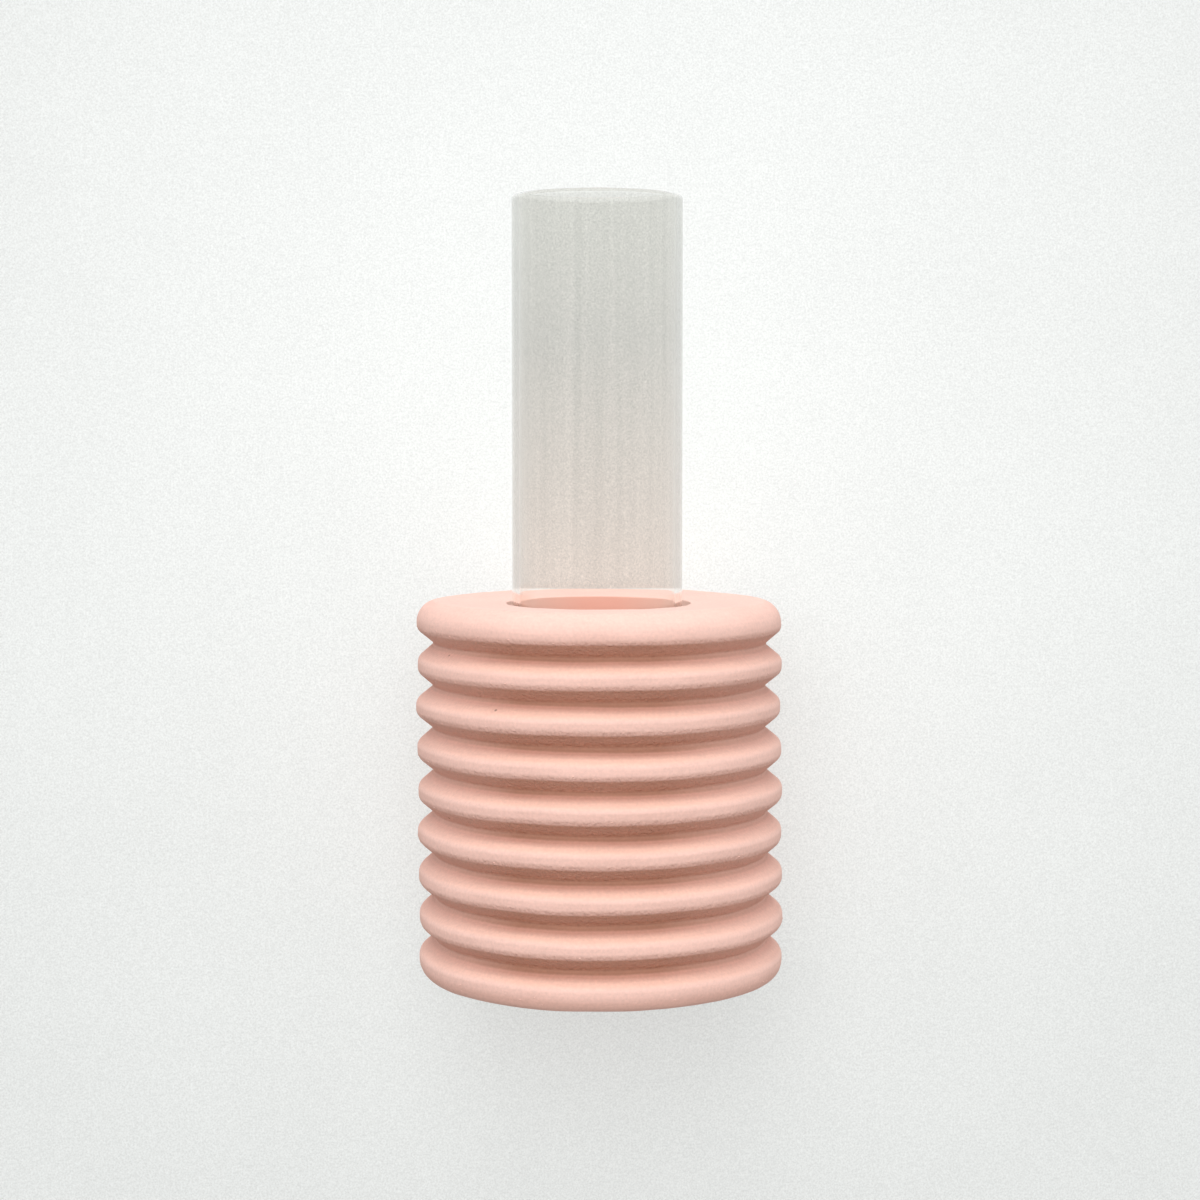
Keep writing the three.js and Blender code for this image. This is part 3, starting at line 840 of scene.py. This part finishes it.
def makeFixing(name, node, look):
    low, high = boxOf(node)
    head, length = (high.x - low.x) / 2, high.y - low.y
    shank, edge, tip = look["shank"], look["headEdge"], look["tip"]
    z = (low.z + high.z) / 2
    outline = [(0, 0), (head - edge, 0), (head, edge * 0.5), (head, edge),
               (shank, look["headHeight"] + edge), (shank, length - tip), (shank - tip, length),
               (0, length)]
    piece = turned(name, outline, look["segments"], zincSteel, (0, high.y, z), fromWall=True)
    hexagon = circle(0, z, look["socket"], 6)
    socket = prism("socketCut", hexagon, high.y - look["socketDepth"], high.y + past)
    cut(piece, socket)
    settle(piece, socket)
    deliver(piece, "vase", "zinc_steel", node)


makePlate(plateLook, fixingLook)
makeFixing("hangerScrewUpper", "hanger_screw_upper", fixingLook)
makeFixing("hangerScrewLower", "hanger_screw_lower", fixingLook)


# felt dots on the back

bumperLook = {"round": 0.5, "segments": 64}


def makeBumper(name, node, look):
    low, high = boxOf(node)
    radius, thick, edge = (high.x - low.x) / 2, high.y - low.y, look["round"]
    outline = [(0, 0)] + run((0, 0), (radius - edge, 0), 14)
    outline += arc(radius - edge, edge, edge, edge, -quarter, 0, 5)
    outline += run(outline[-1], (radius, thick), 4) + [(radius, thick)]
    outline += run(outline[-1], (0, thick), 6) + [(0, thick)]
    piece = turned(name, outline, look["segments"], bumperFelt,
                   ((low.x + high.x) / 2, high.y, (low.z + high.z) / 2), fromWall=True)
    settle(piece, creaseAngle=60)
    deliver(piece, "vase", "bumper_felt", node)


makeBumper("wallBumperLeft", "wall_bumper_left", bumperLook)
makeBumper("wallBumperRight", "wall_bumper_right", bumperLook)


# wall screw and plug

screwLook = {
    "core": 1.55, "thread": 2.0, "threadPitch": 1.8, "threadFrom": 12.0, "runout": 0.6,
    "tip": 5.0, "point": 0.4, "pointShare": 0.08, "headHeight": 2.6, "headEdge": 0.15, "headFrom": 0.06,
    "recessWidth": 1.0, "recessSpan": 4.4, "recessDepth": 1.3, "segments": 48,
}
plugLook = {
    "bore": 2.3, "wall": 0.7, "mouthEdge": 0.2, "collar": 0.8, "collarRound": 0.4, "neck": 12.0,
    "noseEdge": (0.25, 0.4), "barbDepth": 0.25, "barbLength": 3.0, "barbCrest": (0.25, 0.05),
    "slit": 0.9, "slitFrom": 10.0, "segments": 48,
}


def makeThreadTree():
    # a ridge wound round the shank, which narrows along the tip
    tree, given = newTree("screwThread", {
        "Radius": "Float", "Ridge": "Float", "Pitch": "Float", "Start": "Float", "End": "Float",
        "Tip": "Float", "Finish": "Material"})
    length = calc(tree, "SUBTRACT", given["End"], given["Start"])
    wound = addNode(tree, "GeometryNodeCurveSpiral", {
        "Resolution": 28, "Rotations": calc(tree, "DIVIDE", length, given["Pitch"]),
        "Start Radius": given["Radius"], "End Radius": given["Radius"], "Height": length})
    split = axes(tree, position(tree))
    left = calc(tree, "DIVIDE", calc(tree, "SUBTRACT", length, split["Z"]), given["Tip"])
    narrow = calc(tree, "MINIMUM", calc(tree, "ADD", left, 0.05), 1.0)
    # heights of the spiral run into the wall, along +Y
    spot = joinAxes(tree, X=times(tree, split["X"], narrow),
                    Y=calc(tree, "ADD", split["Z"], given["Start"]), Z=times(tree, split["Y"], narrow))
    path = moved(tree, wound.outputs[0], Position=spot)
    edge = addNode(tree, "GeometryNodeCurvePrimitiveCircle", {"Resolution": 4, "Radius": given["Ridge"]})
    ridge = addNode(tree, "GeometryNodeCurveToMesh", {
        "Curve": path, "Profile Curve": edge.outputs[0], "Fill Caps": True})
    return closeTree(tree, joined(tree, ridge.outputs[0], given["Geometry"]), given["Finish"])


def makeWallScrew(look):
    low, high = boxOf("wall_screw")
    head = (high.x - low.x) / 2
    under = low.y + look["headHeight"]
    length = high.y - under
    core, thread, start, runout = look["core"], look["thread"], look["threadFrom"], look["runout"]
    outline = [(0, -length), (core * look["pointShare"], look["point"] - length),
               (core, look["tip"] - length), (core, -start), (thread, runout - start), (thread, 0),
               (head - look["headEdge"], 0)]
    outline += arc(0, 0, head, look["headHeight"], look["headFrom"], quarter, 14)
    screw = turned("wallScrew", outline, look["segments"], zincSteel, (0, under, 0), fromWall=True)
    # cross recess
    span, wide, floor = look["recessSpan"] / 2, look["recessWidth"] / 2, low.y + look["recessDepth"]
    tools = [prism("recessAcross", rectangle(span, -wide, wide), low.y - past, floor),
             prism("recessUp", rectangle(wide, -span, span), low.y - past, floor)]
    cut(screw, *tools)
    addTree(screw, makeThreadTree(), {
        "Radius": core * mm, "Ridge": (thread - core) * mm, "Pitch": look["threadPitch"] * mm,
        "Start": (under + start) * mm, "End": (high.y - runout) * mm, "Tip": look["tip"] * mm,
        "Finish": zincSteel})
    settle(screw, *tools)
    deliver(screw, "wall_fixing", "zinc_steel", "wall_screw")


def makeWallPlug(look):
    low, high = boxOf("wall_plug")
    collar, length = (high.x - low.x) / 2, high.y
    bore, radius = look["bore"], look["bore"] + look["wall"]
    foot = radius - look["barbDepth"]
    noseWide, noseHigh = look["noseEdge"]
    outline = [(bore, -length), (foot - noseWide, -length), (foot, noseHigh - length)]
    crestFrom, crestTo = look["barbCrest"]
    for barb in range(1, int((length - look["neck"]) / look["barbLength"]) + 1):
        step = barb * look["barbLength"] - length
        outline += [(radius, step - crestFrom), (radius, step - crestTo), (foot, step)]
    thick, bend, edge = look["collar"], look["collarRound"], look["mouthEdge"]
    outline += [(foot, 0), (collar, 0), (collar, thick / 2)]
    outline += arc(collar - bend, thick / 2, bend, thick / 2, 0, quarter, 5)[1:]
    outline += [(bore + edge, thick), (bore, thick - edge), (bore, -length)]
    plug = turned("wallPlug", outline, look["segments"], plugNylon, (0, 0, 0), fromWall=True)
    slit = rectangle(radius + 2 * past, -look["slit"] / 2, look["slit"] / 2)
    tool = prism("slitCut", slit, look["slitFrom"], length + past)
    cut(plug, tool)
    settle(plug, tool)
    deliver(plug, "wall_fixing", "plug_nylon", "wall_plug")


makeWallScrew(screwLook)
makeWallPlug(plugLook)

# the sleeves keep their solids
for node in ("threaded_insert_upper", "threaded_insert_lower"):
    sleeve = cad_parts[node]
    sleeve.data.materials.clear()
    sleeve.data.materials.append(insertBrass)


# wall, light and camera

stageLook = {
    "wall": (0.915, 0.935, 0.925, 1), "glow": (0.895, 0.917, 0.9, 1), "glowShare": 0.55,
    "grainScale": 2300, "grain": (0.88, 1.12), "patchScale": 18, "patch": (0.985, 1.01),
    "middle": (0, 60), "fallFrom": (30, 200), "fall": (1.12, 0.86),  # of the glow
    "halfWidth": 1800, "top": 1400, "floor": -600, "cove": 250, "reach": 2400, "behind": 0.1,
}
lightLook = {  # places and sizes in metres
    "aim": (0, -0.037, -0.02),
    "overhead": {"place": (-0.03, -0.28, 1.25), "size": 0.35, "power": 4.2},
    "front": {"place": (-0.1, -1.13, 0.47), "size": 0.8, "power": 6.3},
    "above": 0.63, "below": 0.36, "horizon": 0.6, "left": 1.15, "right": 1.4,
    "worldColour": (1.0, 1.0, 0.992, 1), "backdrop": (0.9, 0.92, 0.91, 1),
}
cameraLook = {  # place and clip in metres
    "place": (0, -0.5614, 0.0595), "tilt": 2.9, "lens": 71.7, "sensor": 36, "shift": -0.0476,
    "clip": 0.01,
}


def makePaleWall(look):
    finish, tree, shader, place = newFinish("paleWall", Specular_IOR_Level=0.1)
    grain = noise(tree, place, look["grainScale"], 2, 0.6)
    patch = noise(tree, place, look["patchScale"], 3, 0.6)
    tone = times(tree, between(tree, grain, 0.25, 0.75, *look["grain"]),
                 spread(tree, patch, *look["patch"]))
    feed(tree, shader.inputs["Base Color"], shaded(tree, look["wall"], tone))
    feed(tree, shader.inputs["Roughness"], spread(tree, grain, 0.9, 1.0))
    # brightest round the tube, falling off to the corners
    middleX, middleZ = look["middle"]
    away = vectorCalc(tree, "SUBTRACT", place, (middleX * mm, 0, middleZ * mm))
    fall = zone(tree, vectorCalc(tree, "LENGTH", away), *look["fallFrom"], *look["fall"])
    glow = addNode(tree, "ShaderNodeEmission", {
        "Color": shaded(tree, look["glow"], tone), "Strength": fall})
    surface = mixShaders(tree, look["glowShare"], shader.outputs[0], glow.outputs[0])
    # seen from the room only, and open to the light that falls on the back of the vase
    front = calc(tree, "SUBTRACT", 1.0, addNode(tree, "ShaderNodeNewGeometry").outputs["Backfacing"])
    through = addNode(tree, "ShaderNodeBsdfTransparent").outputs[0]
    surface = mixShaders(tree, times(tree, seenDirectly(tree), front), through, surface)
    feed(tree, tree.nodes["Material Output"].inputs["Surface"], surface)
    return finish


def makeStage(look):
    # wall, hollow curve and floor in one sheet
    cove, floor, wide, wall = look["cove"], look["floor"], look["halfWidth"], look["behind"]
    line = [(wall, look["top"])] + arc(wall - cove, floor + cove, cove, -cove, 0, quarter, 16)
    line.append((-look["reach"], floor))
    points = [(x, y, z) for y, z in line for x in (-wide, wide)]
    faces = [(2 * i, 2 * i + 2, 2 * i + 3, 2 * i + 1) for i in range(len(line) - 1)]
    sheet = newPiece("wallAndFloor", points, (), faces)
    sheet.data.shade_smooth()
    sheet.data.materials.append(makePaleWall(look))


def makeLamps(look):
    for name in ("overhead", "front"):
        lamp = bpy.data.lights.new(name + "Light", "AREA")
        lamp.shape = "SQUARE"
        lamp.size = look[name]["size"]
        lamp.energy = look[name]["power"]
        light = bpy.data.objects.new(name + "Light", lamp)
        light.location = look[name]["place"]
        aim = Vector(look["aim"]) - light.location
        light.rotation_euler = aim.to_track_quat("-Z", "Y").to_euler()
        light.visible_glossy = False
        light.visible_transmission = False
        scene.collection.objects.link(light)


def makeRoom(look):
    world = bpy.data.worlds.new("paleRoom")
    world.use_nodes = True
    tree = world.node_tree
    room = tree.nodes["Background"]
    room.inputs["Color"].default_value = look["worldColour"]
    # brighter from above and from the sides
    way = axes(tree, addNode(tree, "ShaderNodeTexCoord").outputs["Generated"])
    level = between(tree, way["Z"], -look["horizon"], look["horizon"], look["below"], look["above"])
    strength = times(tree, between(tree, way["X"], 0, -1, 1, look["left"]),
                     between(tree, way["X"], 0, 1, 1, look["right"]), level)
    feed(tree, room.inputs["Strength"], strength)
    shown = addNode(tree, "ShaderNodeBackground", {"Color": look["backdrop"], "Strength": 1.0})
    surface = mixShaders(tree, seenDirectly(tree), room.outputs[0], shown.outputs[0])
    feed(tree, tree.nodes["World Output"].inputs["Surface"], surface)
    scene.world = world


def makeCamera(look):
    lens = bpy.data.cameras.new("roomCamera")
    lens.sensor_width = look["sensor"]
    lens.lens = look["lens"]
    lens.shift_y = look["shift"]
    lens.clip_start = look["clip"]
    camera = bpy.data.objects.new("roomCamera", lens)
    camera.location = look["place"]
    camera.rotation_euler = (quarter - math.radians(look["tilt"]), 0, 0)
    scene.collection.objects.link(camera)
    scene.camera = camera


makeStage(stageLook)
makeLamps(lightLook)
makeRoom(lightLook)
makeCamera(cameraLook)
scene.view_settings.view_transform = "Standard"
print("stage, light and camera set")
